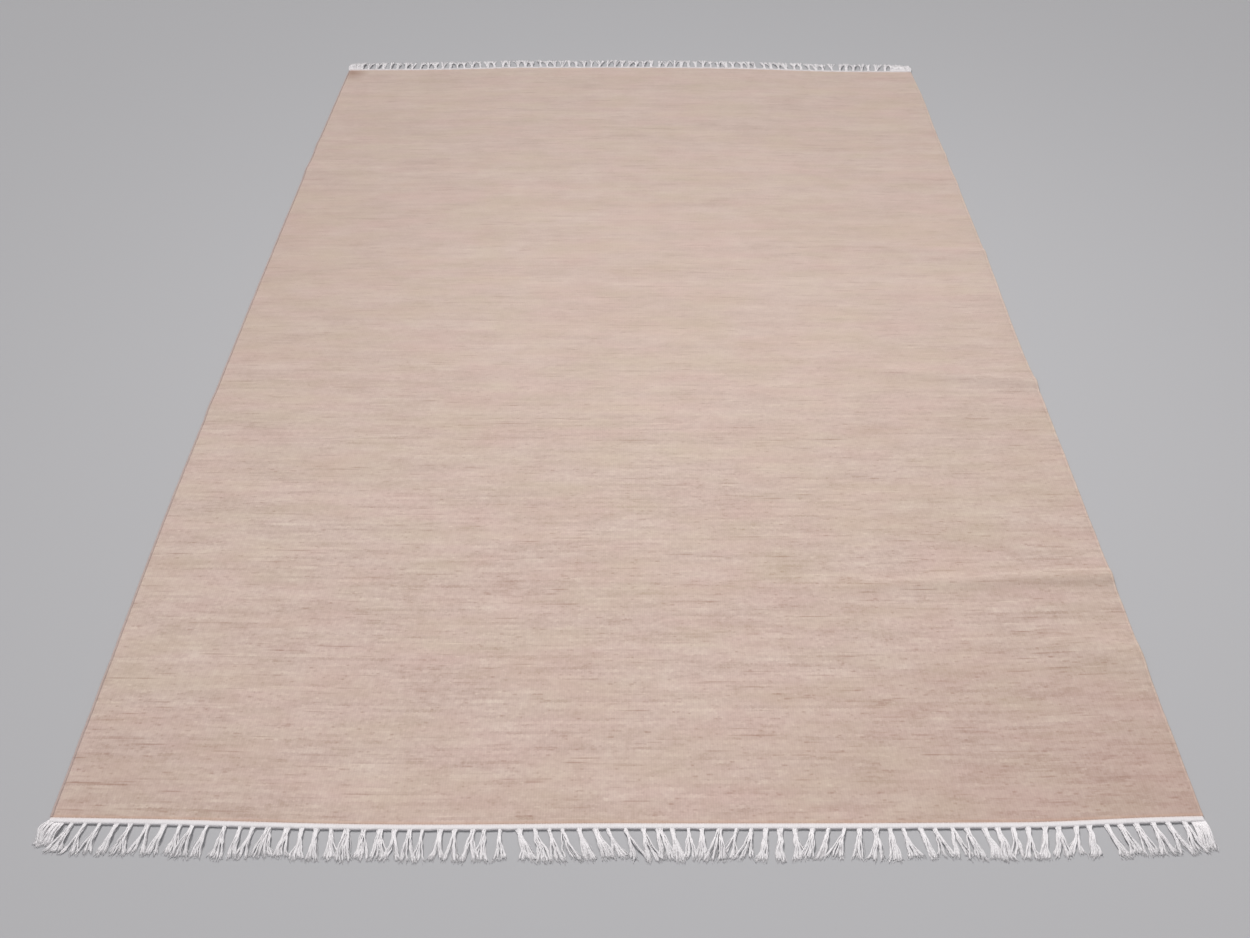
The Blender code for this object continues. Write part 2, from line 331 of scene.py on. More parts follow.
class RugColours(bpy.types.PropertyGroup):
    """Colours of the yarns and of the floor."""

    wool: colour("Wool", "#CCB6AB", "Rose-beige that most of the weft is spun from")
    taupe: colour("Taupe", "#A98F7F", "Dark fleece in the mix")
    # cream is also the painted light on the right selvedge cord
    cream: colour("Cream", "#E6D7C8", "Pale fleece in the mix")
    # umber is also the painted shade of the broad patches
    umber: colour("Umber", "#8C5F4A", "Single dark hairs in the mix")
    rose: colour("Rose", "#D5B1AA", "Pinker lot of weft")
    straw: colour("Straw", "#C8B89E", "Yellower lot of weft")
    peach: colour("Peach", "#D3AA92", "Warm picks next to the headings")
    cotton: colour("Cotton", "#F4F0F1", "Undyed cotton of the headings and the fringe")
    # cotton_shade is painted shade between the plies and the beads; on the loose fibres it is a
    # greyer tone at random
    cotton_shade: colour("Cotton shade", "#DBD6D7", "Cotton between the plies and beads")
    # This pinkish grey is dust on the headings, lying deeper in their grooves, where it is partly
    # painted shade, and it is painted shade on the left selvedge cord
    dust_and_shade: colour("Dust", "#B3A19D", "Pinkish grey that has worked into headings and selvedge")
    floor: colour("Floor", "#B5B4B6", "Pale matt floor")


def add_node(tree, kind, *values, sockets=None, **settings):
    """Adds a shader node with its settings and links.

    values go to its first sockets in order, and sockets maps a socket's number or name to a
    value. A value may be the node or the socket that feeds it. A node gives its first output.
    """
    new = tree.nodes.new("ShaderNode" + kind)
    for name, setting in settings.items():
        setattr(new, name, setting)
    for key, value in (*enumerate(values), *(sockets or {}).items()):
        source = value.outputs[0] if isinstance(value, bpy.types.Node) else value
        if isinstance(source, bpy.types.NodeSocket):
            tree.links.new(source, new.inputs[key])
        else:
            new.inputs[key].default_value = source
    return new


def opaque(colours, name):
    """One of the rug's colours, as a node's socket takes it."""
    return (*getattr(colours, name), 1.0)


def new_material(name, finish):
    """A material whose shader takes the given values, and add_node for its tree."""
    material = bpy.data.materials.new(name)
    material.use_nodes = True
    sockets = material.node_tree.nodes["Principled BSDF"].inputs
    for key, value in finish.items():
        sockets[key].default_value = value
    return material, partial(add_node, material.node_tree)


# A colour that lies over the others: how much of it shows, and how it mixes with them
Layer = namedtuple("Layer", "amount colour blend", defaults=("MIX",))
# A Mix node has sockets of the same names for numbers and for colours, so they go by their place:
# those that take the amount, the colours below and the colour on top, and the one that gives all
MIX_AMOUNT, MIX_BELOW, MIX_ON_TOP, MIXED = 0, 6, 7, 2


def dye(material, ground, layers, relief=None):
    """Gives a material's shader its ground colour with the layers over it, and its relief."""
    tree = material.node_tree
    shader = tree.nodes["Principled BSDF"]
    colour = ground
    for layer in layers:
        mix = add_node(tree, "Mix", data_type="RGBA", blend_type=layer.blend, sockets={
            MIX_AMOUNT: layer.amount, MIX_BELOW: colour, MIX_ON_TOP: layer.colour})
        colour = mix.outputs[MIXED]
    tree.links.new(colour, shader.inputs["Base Color"])
    if relief is not None:
        tree.links.new(relief.outputs[0], shader.inputs["Normal"])


# How steeply a bead of weft falls to its two ends and to its neighbours above and below
BEAD_END_FALL = 8.0
BEAD_SIDE_FALL = 3.0
# A bead is centred on its warp, a quarter of the way along a pair of warps
BEAD_CENTRE = 0.25
# The nodes that a woven material starts from: the flat coordinates, the number of the pick
# that shows there, and the height of its bead, from about 0.3 in the grooves to 1
Weave = namedtuple("Weave", "across along pick height")


def woven_beads(add, sizes):
    """The interlocking beads of a weft-faced plain weave on a cloth's flat coordinates.

    Each pick shows as a bead over every second warp and dives under the ones between, so
    beads on neighbouring warps are staggered by half a bead and their ends interlock.
    """
    across, along = add("SeparateXYZ", add("UVMap", uv_map=FLAT_LAYER)).outputs[:2]
    pair = add("Math", across, 2 * sizes.warp_pitch, operation="DIVIDE")
    row = add("Math", along, sizes.bead_height, operation="DIVIDE")
    domes, picks = [], []
    for stagger in (0.0, 0.5):
        dome = 1.0
        for position, shift, fall in (
            (pair, stagger + BEAD_CENTRE, BEAD_END_FALL), (row, stagger, BEAD_SIDE_FALL),
        ):
            turn = add("Math", add("Math", position, shift, operation="ADD"), operation="FRACT")
            offset = add("Math", turn, 0.5, operation="SUBTRACT")
            square = add("Math", offset, offset, operation="MULTIPLY")
            dome = add("Math", square, -fall, dome, operation="MULTIPLY_ADD")
        domes.append(dome)
        number = add("Math", add("Math", row, stagger, operation="ADD"), operation="FLOOR")
        picks.append(add("Math", number, stagger, operation="SUBTRACT"))
    second = add("Math", domes[1], domes[0], operation="GREATER_THAN")
    step = add("Math", picks[1], picks[0], operation="SUBTRACT")
    pick = add("Math", step, second, picks[0], operation="MULTIPLY_ADD")
    return Weave(across, along, pick, add("Math", *domes, operation="MAXIMUM"))


# How many finer waves a material's noise has, and how strong they are in the weave
NOISE_DETAIL = 2.0
WEFT_NOISE_ROUGHNESS = 0.55


def weft_noise(add, across, pick, length, picks, seed, detail=NOISE_DETAIL):
    """Noise drawn out along the weft. pick and picks may also be a place and a breadth."""
    place = add("CombineXYZ", add("Math", across, length, operation="DIVIDE"),
                add("Math", pick, picks, operation="DIVIDE"), seed)
    return add("TexNoise", sockets={
        "Vector": place, "Scale": 1.0, "Detail": detail, "Roughness": WEFT_NOISE_ROUGHNESS})


# The fleece is mixed before it is spun, so its shade changes along each pick in streaks, which
# lie straight because a yarn goes in and back again: how many picks share a shade, the streaks'
# length across the rug and height in picks, and how far they move the shade at the near end of
# the rug and at the far one. The weft is more strongly heathered at the near end
Mottle = namedtuple("Mottle", "shared length picks near far seed")
MOTTLES = (
    Mottle(shared=3, length=0.005, picks=3.3, near=0.30, far=0.06, seed=22.5),
    Mottle(shared=2, length=0.009, picks=2.3, near=0.37, far=0.07, seed=1.5),
    Mottle(shared=3, length=0.035, picks=3.3, near=0.44, far=0.11, seed=7.5),
    Mottle(shared=3, length=0.160, picks=3.3, near=0.46, far=0.15, seed=10.5),
    Mottle(shared=1, length=0.100, picks=12.0, near=0.29, far=0.20, seed=13.5),
    Mottle(shared=1, length=0.050, picks=22.0, near=0.17, far=0.17, seed=16.5),
    Mottle(shared=1, length=0.700, picks=18.0, near=0.12, far=0.20, seed=19.5),
)
# How far in from the near end the stronger heathering reaches
HEATHER_REACH = 1.5
# The shades, from 0 to 1, at which the mix is all dark fleece, all common and all pale
DARK_SHADE, COMMON_SHADE, PALE_SHADE = 0.12, 0.5, 0.90

# Single fibres show as hair-fine streaks on each bead: their length, breadth and strength. They
# are drawn several times as broad as they are, because they would not show otherwise
FIBRE_LENGTH = 0.0060
FIBRE_BREADTH = 0.00035
FIBRE_SEED = 61.5
FIBRE_NEAR, FIBRE_FAR = 0.36, 0.24
FIBRE_RELIEF = 0.8
WOOL_BUMP = {"Distance": 0.35 * MM, "Strength": 0.5}

# Lots of weft of another tint: the most that one shows, the length and height in picks of its
# patches, and the noise values at which it starts to show and at which it shows most
Lot = namedtuple("Lot", "fleece most seed")
LOTS = (Lot(fleece="rose", most=0.24, seed=31.5), Lot(fleece="straw", most=0.32, seed=47.5))
LOT_LENGTH, LOT_PICKS, LOT_DETAIL = 0.14, 26.0, 4.0
LOT_START, LOT_FULL = 0.42, 0.70

# Sparse dashes and lines of one dark or pale hair bundle: their length across the rug, height in
# picks, the noise value above which one shows, and its strength at the near and at the far end
Fleck = namedtuple("Fleck", "length picks threshold near far fleece seed")
FLECKS = (
    Fleck(length=0.015, picks=1.6, threshold=0.61, near=0.34, far=0.10, fleece="umber", seed=71.5),
    Fleck(length=0.090, picks=1.3, threshold=0.62, near=0.40, far=0.26, fleece="umber", seed=75.5),
    Fleck(length=0.012, picks=1.4, threshold=0.66, near=0.50, far=0.14, fleece="cream", seed=79.5),
    Fleck(length=0.090, picks=1.3, threshold=0.66, near=0.42, far=0.28, fleece="cream", seed=83.5),
)
FLECK_SOFTNESS = 0.14
# Just above 1, so that flecks on neighbouring lines have nothing to do with each other
FLECK_SPACING = 1.05

# Broad soft patches: the umber ones are painted shade, darker at the near corners, along the left
# side, on the right of the near half and at the far left corner, and the rose one is a pinker tint
# at
# the near end. For each: the middle, how far the patch reaches across and along the rug, its
# strength there and the fleece that it leans to
Patch = namedtuple("Patch", "across along breadth depth strength fleece")
SHADE_AND_TINT_PATCHES = (
    Patch(across=0.00, along=-1.15, breadth=1.50, depth=0.60, strength=0.14, fleece="rose"),
    Patch(across=0.80, along=-1.15, breadth=0.75, depth=0.40, strength=0.24, fleece="umber"),
    Patch(across=-0.80, along=-1.15, breadth=0.30, depth=0.25, strength=0.10, fleece="umber"),
    Patch(across=-0.785, along=1.14, breadth=0.05, depth=0.05, strength=0.60, fleece="umber"),
    Patch(across=-0.85, along=0.40, breadth=0.60, depth=0.90, strength=0.09, fleece="umber"),
    Patch(across=0.80, along=-0.55, breadth=0.70, depth=0.60, strength=0.06, fleece="umber"),
)

# The first picks at each end come from a warmer lot: how far in it starts to show, how far in
# it shows most, and how much
WARM_START, WARM_FULL, WARM_MOST = 0.005, 0.002, 0.35
# Painted shade makes the cord of the left selvedge greyer than the cloth beside it, and painted
# light makes the right one paler
SelvedgePaintedLight = namedtuple("SelvedgePaintedLight", "side strength fleece")
SELVEDGE_SHADE_AND_LIGHT = (
    SelvedgePaintedLight(side=-1, strength=0.65, fleece="dust_and_shade"),
    SelvedgePaintedLight(side=1, strength=0.14, fleece="cream"),
)
SELVEDGE_BLUR = 0.001
# Painted shade and light on the weave: how light the wool is painted in a groove between its beads,
# and how much lighter on their crests
PAINTED_GROOVE_LIGHT, PAINTED_CREST_LIGHT = 0.90, 0.11


def lot_layers(add, colours, weave):
    """The pinker and the yellower lots of weft, in long patches."""
    for lot in LOTS:
        patchy = weft_noise(add, weave.across, weave.pick, LOT_LENGTH, LOT_PICKS, lot.seed,
                            LOT_DETAIL)
        amount = add("MapRange", patchy, LOT_START, LOT_FULL, 0.0, lot.most)
        yield Layer(amount, opaque(colours, lot.fleece))


def fleck_layers(add, sizes, colours, weave, between):
    """The dark and pale hair bundles, each on one straight line along the weft."""
    for fleck in FLECKS:
        tall = fleck.picks * sizes.bead_height
        line = add("Math", weave.along, tall, operation="SNAP")
        value = weft_noise(add, weave.across, line, fleck.length, tall * FLECK_SPACING,
                           fleck.seed)
        shown = add("MapRange", value, fleck.threshold, fleck.threshold + FLECK_SOFTNESS,
                    0.0, 1.0)
        amount = add("Math", shown, between(fleck.near, fleck.far), operation="MULTIPLY")
        yield Layer(amount, opaque(colours, fleck.fleece))


def shade_and_tint_layers(add, colours, weave):
    """The broad soft patches of painted shade, and of a pinker tint."""
    for patch in SHADE_AND_TINT_PATCHES:
        across = add("Math", weave.across, 1 / patch.breadth, -patch.across / patch.breadth,
                     operation="MULTIPLY_ADD")
        along = add("Math", weave.along, 1 / patch.depth, -patch.along / patch.depth,
                    operation="MULTIPLY_ADD")
        inside = add("TexGradient", add("CombineXYZ", across, along),
                     gradient_type="SPHERICAL").outputs["Fac"]
        amount = add("Math", inside, patch.strength, operation="MULTIPLY")
        yield Layer(amount, opaque(colours, patch.fleece))


def edge_layers(add, sizes, colours, weave):
    """The warmer picks at each end, and the painted shade and light on the cords of the selvedges.
    """
    from_middle = add("Math", weave.along, operation="ABSOLUTE")
    from_end = add("Math", sizes.length / 2, from_middle, operation="SUBTRACT")
    amount = add("MapRange", from_end, WARM_START, WARM_FULL, 0.0, WARM_MOST)
    yield Layer(amount, opaque(colours, "peach"))
    cord = sizes.width / 2 - SELVEDGE_WIDTH
    # painted shade on the left cord, painted light on the right one
    for painted_light in SELVEDGE_SHADE_AND_LIGHT:
        outward = add("Math", weave.across, painted_light.side, operation="MULTIPLY")
        amount = add("MapRange", outward, cord - SELVEDGE_BLUR, cord + SELVEDGE_BLUR,
                     0.0, painted_light.strength)
        yield Layer(amount, opaque(colours, painted_light.fleece))


def wool_weave(sizes, colours):
    """Heathered wool, hand-spun and woven weft-faced.

    It looks matt and a little hairy, is streaked along the weft, and is ribbed by the warps.
    """
    material, add = new_material("wool_weft_faced_weave", {
        "Roughness": 0.92, "Specular IOR Level": 0.25,
        "Sheen Weight": 0.12, "Sheen Roughness": 0.6})
    weave = woven_beads(add, sizes)
    near_end = -sizes.length / 2
    nearness = add("MapRange", weave.along, near_end, near_end + HEATHER_REACH, 1.0, 0.0,
                   interpolation_type="SMOOTHSTEP")

    def between(near, far):
        """A strength that changes from the near part of the rug to the far one."""
        return add("Math", nearness, near - far, far, operation="MULTIPLY_ADD")

    fibres = weft_noise(add, weave.across, weave.along, FIBRE_LENGTH, FIBRE_BREADTH, FIBRE_SEED)
    fibres = add("Math", fibres, 0.5, operation="SUBTRACT")
    shade = add("Math", fibres, between(FIBRE_NEAR, FIBRE_FAR), COMMON_SHADE,
                operation="MULTIPLY_ADD")
    for mottle in MOTTLES:
        lot = add("Math", weave.pick, mottle.shared, operation="SNAP")
        value = weft_noise(add, weave.across, lot, mottle.length, mottle.picks, mottle.seed)
        centred = add("Math", value, 0.5, operation="SUBTRACT")
        shade = add("Math", centred, between(mottle.near, mottle.far), shade,
                    operation="MULTIPLY_ADD")
    fleece = add("ValToRGB", shade)
    ramp = fleece.color_ramp.elements
    ramp[0].position, ramp[0].color = DARK_SHADE, opaque(colours, "taupe")
    ramp[1].position, ramp[1].color = PALE_SHADE, opaque(colours, "cream")
    ramp.new(COMMON_SHADE).color = opaque(colours, "wool")
    # painted shade in the grooves between the beads, and painted light on their crests
    light = add("Math", weave.height, PAINTED_CREST_LIGHT, PAINTED_GROOVE_LIGHT, operation="MULTIPLY_ADD")
    hairy = add("Math", fibres, FIBRE_RELIEF, weave.height, operation="MULTIPLY_ADD")
    dye(material, fleece, [
        *lot_layers(add, colours, weave),
        *fleck_layers(add, sizes, colours, weave, between),
        *shade_and_tint_layers(add, colours, weave),
        *edge_layers(add, sizes, colours, weave),
        Layer(1.0, light, "MULTIPLY"),
    ], add("Bump", sockets={"Height": hairy, **WOOL_BUMP}))
    return material


# Painted shade, and dust that is partly painted shade, lie deeper in the grooves: how much there
# is in a groove, where the height is 0, and on a crest, where it is 1
Gathered = namedtuple("Gathered", "groove crest")
HEADING_SHADE = Gathered(groove=0.55, crest=0.20)
HEADING_DUST_AND_SHADE = Gathered(groove=1.40, crest=0.60)
YARN_SHADE = Gathered(groove=0.70, crest=0.10)
# Patches in the headings: their length across the rug and height in picks
SHADE_LENGTH, SHADE_PICKS, SHADE_SEED = 0.02, 1.5, 3.5
DUST_LENGTH, DUST_PICKS, DUST_SEED = 0.012, 4.0, 5.5
# How much dust there is one metre to the near side of the middle and one metre to the far side
DUST_NEAR, DUST_FAR = 0.22, 0.95
# Wool fluff clings to the first pick: how far it is thick, how far it reaches, and how much of it
FLUFF_THICK, FLUFF_END, FLUFF_MOST = 0.0004, 0.0024, 0.34
HEADING_BUMP = {"Distance": 0.3 * MM, "Strength": 0.6}


def cotton_heading(sizes, colours):
    """Undyed cotton weft, packed tight.

    It looks matt, with painted shade between the beads, and patches of dust that lie deeper in the
    grooves, where they are partly painted shade, and grow towards the far end.
    """
    material, add = new_material("cotton_packed_weft", {
        "Roughness": 0.85, "Specular IOR Level": 0.3,
        "Sheen Weight": 0.08, "Sheen Roughness": 0.5})
    weave = woven_beads(add, sizes)
    # painted shade between the beads, and how much deeper in the grooves the dust lies
    shaded, in_grooves = (
        add("Math", weave.height, crest - groove, groove, operation="MULTIPLY_ADD")
        for groove, crest in (HEADING_SHADE, HEADING_DUST_AND_SHADE))
    uneven = weft_noise(add, weave.across, weave.pick, SHADE_LENGTH, SHADE_PICKS, SHADE_SEED)
    shade = add("Math", shaded, uneven, operation="MULTIPLY")
    patchy = weft_noise(add, weave.across, weave.pick, DUST_LENGTH, DUST_PICKS, DUST_SEED)
    share = add("MapRange", weave.along, -1.0, 1.0, DUST_NEAR, DUST_FAR)
    dusty = add("Math", patchy, share, operation="MULTIPLY")
    dust_and_shade = add("Math", dusty, in_grooves, operation="MULTIPLY")
    from_middle = add("Math", weave.along, operation="ABSOLUTE")
    from_wool = add("Math", from_middle, sizes.length / 2, operation="SUBTRACT")
    fluff = add("MapRange", from_wool, FLUFF_THICK, FLUFF_END, FLUFF_MOST, 0.0)
    dye(material, opaque(colours, "cotton"), [
        Layer(shade, opaque(colours, "cotton_shade")),
        Layer(dust_and_shade, opaque(colours, "dust_and_shade")),
        Layer(fluff, opaque(colours, "peach")),
    ], add("Bump", sockets={"Height": weave.height, **HEADING_BUMP}))
    return material


# A yarn's plies, and the length in which they go round it once
PLIES = 2.0
YARN_TWIST = 4.5 * MM
YARN_BUMP = {"Distance": 0.25 * MM, "Strength": 0.8}
# Uneven shade along the yarns and the fibres: noise waves in a metre
YARN_UNEVEN = 140.0
FIBRE_UNEVEN = 90.0
FIBRE_SHADE = 0.35


def cotton_yarn(colours):
    """Undyed cotton warp yarn, two plies twisted: matt white, with painted shade between the plies.
    """
    material, add = new_material("cotton_twisted_yarn", {
        "Roughness": 0.85, "Specular IOR Level": 0.3,
        "Sheen Weight": 0.1, "Sheen Roughness": 0.5})
    around, along = add("SeparateXYZ", add("UVMap", uv_map=YARN_LAYER)).outputs[:2]
    twisted = add("Math", along, YARN_TWIST, operation="DIVIDE")
    turns = add("Math", around, PLIES, twisted, operation="MULTIPLY_ADD")
    turn = add("Math", turns, operation="FRACT")
    offset = add("Math", turn, 0.5, operation="SUBTRACT")
    square = add("Math", offset, offset, operation="MULTIPLY")
    ply = add("Math", square, -4.0, 1.0, operation="MULTIPLY_ADD")
    # painted shade between the plies, uneven along the yarn
    shaded = add("Math", ply, YARN_SHADE.crest - YARN_SHADE.groove, YARN_SHADE.groove,
                 operation="MULTIPLY_ADD")
    uneven = add("TexNoise", sockets={
        "Vector": add("TexCoord").outputs["Object"], "Scale": YARN_UNEVEN,
        "Detail": NOISE_DETAIL})
    amount = add("Math", shaded, uneven, operation="MULTIPLY")
    dye(material, opaque(colours, "cotton"), [Layer(amount, opaque(colours, "cotton_shade"))],
        add("Bump", sockets={"Height": ply, **YARN_BUMP}))
    return material


def cotton_fibre(colours):
    """Loose cotton fibres, untwisted.

    They look dull and soft, and whiter than the yarn, because no ply shades them.
    """
    material, add = new_material("cotton_loose_fibre", {
        "Roughness": 0.95, "Specular IOR Level": 0.15,
        "Sheen Weight": 0.2, "Sheen Roughness": 0.5})
    uneven = add("TexNoise", sockets={
        "Vector": add("TexCoord").outputs["Object"], "Scale": FIBRE_UNEVEN,
        "Detail": NOISE_DETAIL})
    amount = add("Math", uneven, FIBRE_SHADE, operation="MULTIPLY")
    dye(material, opaque(colours, "cotton"), [Layer(amount, opaque(colours, "cotton_shade"))])
    return material


def add_piece(name, mesh, material, nodes):
    """Puts a mesh in the scene as a piece that stands for CAD nodes, with the given material."""
    piece = bpy.data.objects.new(name, mesh)
    bpy.context.scene.collection.objects.link(piece)
    mesh.materials.append(material)
    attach(piece, "root")
    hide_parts(*nodes)
    return piece


def mesh_from_quads(name, points, quads, layer, coordinates, caps=()):
    """A smooth mesh from points, quads, one UV pair for each quad corner, and plain cap faces."""
    mesh = bpy.data.meshes.new(name)
    faces = quads.reshape(-1, 4).tolist() + [list(cap) for cap in caps]
    mesh.from_pydata(points.reshape(-1, 3).tolist(), [], faces)
    uv = mesh.uv_layers.new(name=layer)
    filled = np.zeros((len(mesh.loops), 2))
    filled[:quads.size] = coordinates.reshape(-1, 2)
    uv.data.foreach_set("uv", filled.ravel())
    mesh.shade_smooth()
    mesh.update()
    return mesh


def tubes(name, rings, layer, turns, lengths):
    """A mesh of closed tubes. rings has the shape (tubes, stations, sides, 3).

    turns has one value more than there are sides, and lengths one for each station of each
    tube: they are the UV coordinates round and along a tube.
    """
    count, stations, sides = rings.shape[:3]
    index = np.arange(count * stations * sides).reshape(count, stations, sides)
    near, far = index[:, :-1], index[:, 1:]
    quads = np.stack([near, np.roll(near, -1, 2), np.roll(far, -1, 2), far], -1)
    corners = np.zeros(quads.shape + (2,))
    for corner, (step, side) in enumerate(((0, 0), (0, 1), (1, 1), (1, 0))):
        corners[..., corner, 0] = turns[side:side + sides]
        corners[..., corner, 1] = lengths[:, step:stations - 1 + step, None]
    caps = [c for i in range(count) for c in (index[i, 0, ::-1].tolist(), index[i, -1].tolist())]
    return mesh_from_quads(name, rings, quads, layer, corners, caps)


def swell(t):
    """A smooth hump that is 1 at 0 and fades to 0 at -1 and 1."""
    return np.clip(1 - t * t, 0, None) ** 2


def ease(t):
    """A smooth step from 0 to 1."""
    t = np.clip(t, 0, 1)
    return t * t * (3 - 2 * t)


# Places at which an edge is measured for how far it reaches out
EDGE_STATIONS = 101


def outside(edge, place):
    """How far an edge of the field lies outside the straight line between its corners."""
    strays = [s.out * swell((place - s.place) / s.breadth) for s in STRAYS if s.edge == edge]
    return BOWS[edge] * (1 - place ** 2) + sum(strays)


def heading_reach(end):
    """How far a heading reaches beyond the line between the field's corners."""
    return end.depth + float(np.max(outside(end.name, np.linspace(-1, 1, EDGE_STATIONS))))


# The shift along Y that brings the middle of the rug's length to the origin
CENTRING = (heading_reach(ENDS[0]) - heading_reach(ENDS[1])) / 2


def field_point(sizes, across, along):
    """X and Y on the laid field. across and along run from -1 to 1."""
    side_out = np.where(across < 0, outside("left", along), outside("right", along))
    end_out = np.where(along < 0, outside("front", across), outside("back", across))
    x = across * (sizes.width / 2 + side_out)
    y = along * (sizes.length / 2 + end_out) + CENTRING
    return x, y


def end_edge(sizes, across, end):
    """Y of the field's end edge at a place across the rug, from -1 to 1."""
    return end.side * (sizes.length / 2 + outside(end.name, across)) + CENTRING


def lift(sizes, x, y):
    """How far the ripples raise the cloth's underside."""
    height = np.zeros(np.broadcast(x, y).shape)
    for ripple in RIPPLES:
        outward = 1 if ripple.side == "right" else -1
        inward = np.clip(sizes.width / 2 - outward * x, 0, None) / ripple.reach
        crest = ripple.place + ripple.slant * inward
        height = height + ripple.height * swell(inward) * swell((y - crest) / ripple.breadth)
    return height


def rounding(distance, radius):
    """How far a rounded edge falls at a distance in from its end."""
    short = np.clip(radius - distance, 0, radius)
    return radius - np.sqrt(radius ** 2 - short ** 2)


def field_grid(sizes, half_width):
    """Flat coordinates of the field's vertices, which are closer together next to its edges."""
    middle = np.linspace(-half_width, half_width, FIELD_COLUMNS + 1)[1:-1]
    side = np.array(SIDE_STATIONS) - half_width
    inner = np.linspace(-sizes.length / 2, sizes.length / 2, FIELD_ROWS + 1)[1:-1]
    end = np.array(END_STATIONS) - sizes.length / 2
    return np.meshgrid(np.concatenate([side, middle, -side[::-1]]),
                       np.concatenate([end, inner, -end[::-1]]))


def closed_sheet(low, high):
    """Quads of a closed sheet, from the vertex numbers of its lower and of its upper face."""
    patches = [
        (high[:-1, :-1], high[:-1, 1:], high[1:, 1:], high[1:, :-1]),
        (low[:-1, :-1], low[1:, :-1], low[1:, 1:], low[:-1, 1:]),
        (low[0, :-1], low[0, 1:], high[0, 1:], high[0, :-1]),
        (low[-1, 1:], low[-1, :-1], high[-1, :-1], high[-1, 1:]),
        (low[1:, 0], low[:-1, 0], high[:-1, 0], high[1:, 0]),
        (low[:-1, -1], low[1:, -1], high[1:, -1], high[:-1, -1]),
    ]
    return np.concatenate([np.stack(p, -1).reshape(-1, 4) for p in patches])


def weave_field(sizes, material):
    """The wool field: a thin closed sheet on the ripples, with a slightly uneven upper face."""
    half_width = sizes.width / 2 - SELVEDGE_WIDTH * SELVEDGE_COVER
    flat_x, flat_y = field_grid(sizes, half_width)
    x, y = field_point(sizes, flat_x / (sizes.width / 2), flat_y / (sizes.length / 2))
    base = lift(sizes, x, y)
    fall = rounding(sizes.length / 2 - np.abs(flat_y), END_ROUNDING)
    uneven = np.array([
        sum(w.strength * noise.noise(Vector((*place, 0)) / w.length) for w in UNEVEN_WAVES)
        for place in zip(x.ravel(), y.ravel())]).reshape(x.shape)
    from_side = half_width - np.abs(flat_x)
    dip = DIP_DEPTH * swell((from_side - DIP_PLACE) / DIP_BREADTH)
    top = base + sizes.thickness - fall + uneven * UNEVEN_DEPTH - dip
    faces = np.stack([np.stack([x, y, base + fall], -1), np.stack([x, y, top], -1)])
    quads = closed_sheet(*np.arange(2 * x.size).reshape(2, *x.shape))
    flat = np.stack([flat_x, flat_y], -1)
    coordinates = np.concatenate([flat, flat]).reshape(-1, 2)[quads]
    mesh = mesh_from_quads("wool_field", faces, quads, FLAT_LAYER, coordinates)
    return add_piece("wool_field", mesh, material, ["rug_field"])


def wrap_selvedge(sizes, material, side, name):
    """One corded edge of the field, ribbed by the turns of the weft."""
    wraps = round(sizes.length / SELVEDGE_WRAP)
    flat_y = np.linspace(-sizes.length / 2, sizes.length / 2, 2 * wraps + 1)
    edge, y = field_point(sizes, np.full_like(flat_y, side), flat_y / (sizes.length / 2))
    relief = SELVEDGE_RELIEF * np.where(np.arange(len(flat_y)) % 2, 1.0, -1.0)
    wander = np.array([
        sum(w.strength * noise.noise(Vector((side * w.row, v / w.length, 0)))
            for w in SELVEDGE_WAVES)
        for v in flat_y]) * SELVEDGE_WANDER
    half = SELVEDGE_WIDTH / 2
    tall = (sizes.thickness + SELVEDGE_RISE) / 2
    middle = edge - side * half + wander
    base = lift(sizes, edge, y)
    angle = -np.arange(SELVEDGE_SIDES + 1) / SELVEDGE_SIDES * tau * side
    out = np.cos(angle)[None, :-1] * (half + relief[:, None])
    up = np.sin(angle)[None, :-1] * (tall + relief[:, None] - SELVEDGE_RELIEF)
    rings = np.stack([
        middle[:, None] + side * out,
        np.broadcast_to(y[:, None], out.shape),
        (base + tall)[:, None] + up,
    ], -1)[None]
    flat_x = side * (sizes.width / 2 - half + np.cos(angle) * half)
    mesh = tubes(name, rings, FLAT_LAYER, flat_x, flat_y[None])
    return add_piece(name, mesh, material, ["rug_field"])


def heading_section(rows):
    """A heading's section, from the field outwards over the top and back underneath.

    Returns the places across its depth and the heights, from 0 to 1, and where it is beaded.
    """
    inner = np.linspace(0, 1, rows * HEADING_STATIONS_PER_ROW + 1)
    rim = np.array(HEADING_RIM_STATIONS)
    top = np.concatenate([rim, inner[1:-1], 1 - rim[::-1]])
    # the inner edge is pressed square against the field, and only the outer one is rounded
    arch = (1 - np.abs(2 * top - 1) ** HEADING_ROUNDNESS) ** (1 / HEADING_ROUNDNESS)
    crown = np.where(top < 0.5, 1.0, arch)
    under = np.zeros(len(HEADING_UNDER_STATIONS))
    reach = np.concatenate([top, HEADING_UNDER_STATIONS])
    height = np.concatenate([HEADING_RIM + (1 - HEADING_RIM) * crown, under])
    return reach, height, np.concatenate([crown > HEADING_BEADED, under > 0])


def heading_relief(across, reach, rows, warp_pitch):
    """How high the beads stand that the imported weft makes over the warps."""
    rib = across / warp_pitch
    warp = np.floor(rib + WARP_SLACK)
    dome_across = 1 - 4 * (rib - warp - 0.5) ** 2
    row = reach[None, :] * rows + 0.5 * (warp[:, None] % 2)
    dome_along = 1 - 4 * (row - np.floor(row) - 0.5) ** 2
    along = HEADING_VALLEY + (1 - HEADING_VALLEY) * dome_along
    return HEADING_RELIEF * dome_across[:, None] * along


